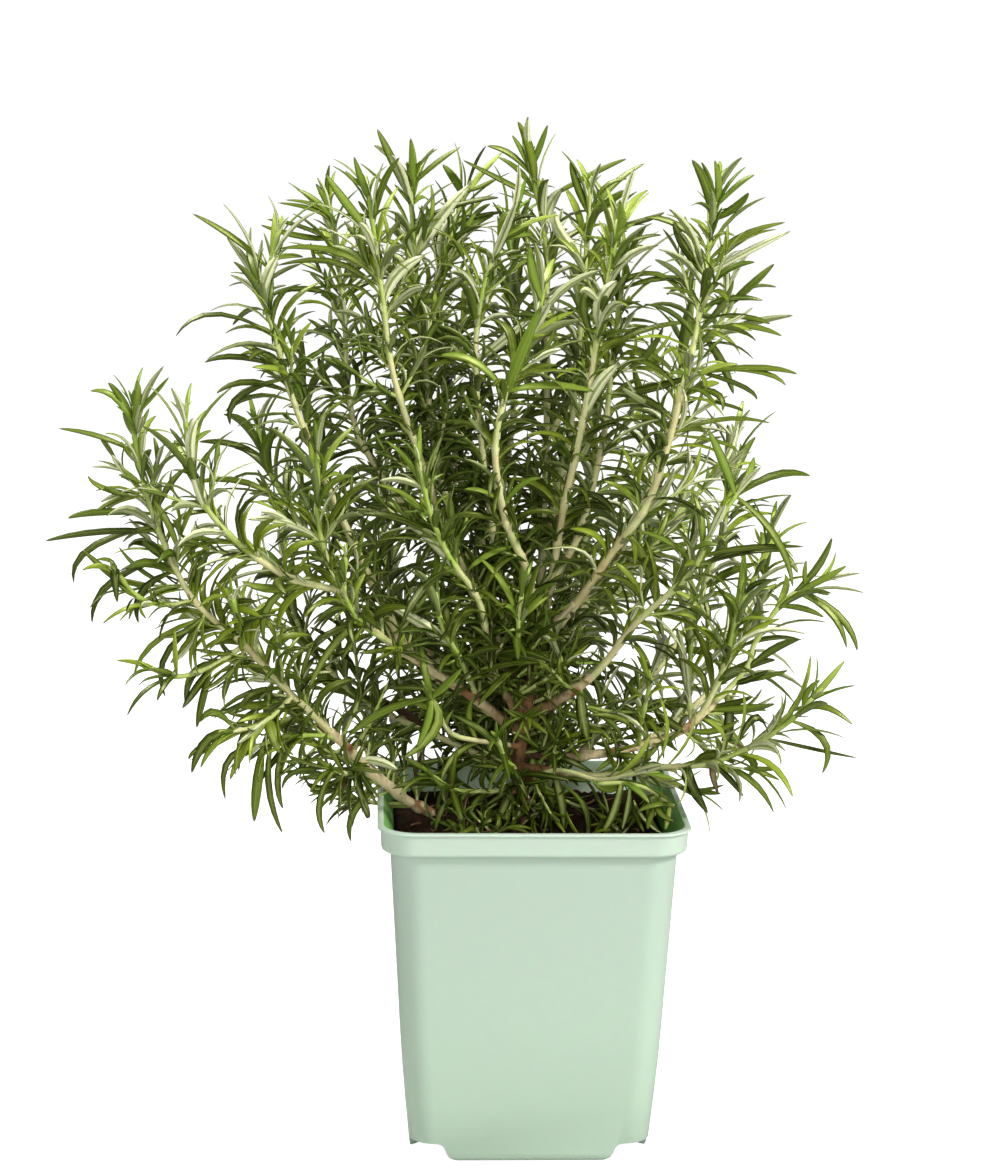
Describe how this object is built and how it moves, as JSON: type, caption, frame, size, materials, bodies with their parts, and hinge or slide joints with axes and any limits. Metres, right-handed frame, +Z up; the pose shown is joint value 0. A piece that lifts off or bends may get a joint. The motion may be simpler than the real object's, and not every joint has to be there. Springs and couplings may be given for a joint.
{
  "type": "potted rosemary plant",
  "caption": "Bushy rosemary plant with needle leaves on upright woody stems, growing in soil in a tapered square plastic pot with a banded rim.",
  "frame": {"origin": "centre of the pot's underside, on the surface that it stands on", "axes": "+Z up; -Y is the front that the picture shows, +X to its right"},
  "size_m": [0.2856, 0.2003, 0.3695],
  "materials": {
    "pot": "satin",
    "soil": "matte",
    "bark": "matte",
    "leaf": "satin"
  },
  "bodies": {
    "root": {"pot": "pot", "soil": "soil", "trunk": "bark", "low_branch": "bark", "leafy_centre_front": "leaf", "leafy_centre_right": "leaf", "leafy_tall_right": "leaf", "leafy_right_front": "leaf", "leafy_right_side": "leaf", "leafy_right_outer": "leaf", "leafy_low_right": "leaf", "leafy_front_right_small": "leaf", "leafy_front_left_small": "leaf", "leafy_low_left": "leaf", "leafy_left_front": "leaf", "leafy_left_side": "leaf", "leafy_tall_left": "leaf", "leafy_tall_left_rear": "leaf", "leafy_left_rear": "leaf", "leafy_upper_left": "leaf", "leafy_upper_left_rear": "leaf", "leafy_outer_left": "leaf", "leafy_low_left_sprig": "leaf", "leafy_low_left_spur_a": "leaf", "leafy_low_left_spur_b": "leaf", "leafy_low_left_spur_c": "leaf", "leafy_low_left_spur_d": "leaf", "leafy_low_left_spur_e": "leaf", "leafy_centre_rear": "leaf", "leafy_centre_right_rear": "leaf", "leafy_centre_left": "leaf", "leafy_centre_left_rear": "leaf", "leafy_right_middle": "leaf", "leafy_tall_right_sprig": "leaf", "leafy_right_rear": "leaf", "leafy_right_side_sprig": "leaf", "leafy_right_low_sprig": "leaf", "leafy_front_sprig": "leaf", "leafy_left_sprig": "leaf", "leafy_front_low_sprig": "leaf", "leafy_front_left_low_sprig": "leaf", "leafy_left_side_sprig": "leaf", "leafy_rear_a": "leaf", "leafy_rear_b": "leaf", "leafy_rear_c": "leaf", "leafy_rear_d": "leaf", "leafy_rear_e": "leaf", "leafy_rear_f": "leaf", "leafy_rear_g": "leaf", "leafy_rear_h": "leaf", "leafy_rear_i": "leaf", "leafy_rear_j": "leaf", "leafy_rear_k": "leaf", "leafy_rear_l": "leaf", "leafy_rear_m": "leaf"}
  },
  "joints": []
}
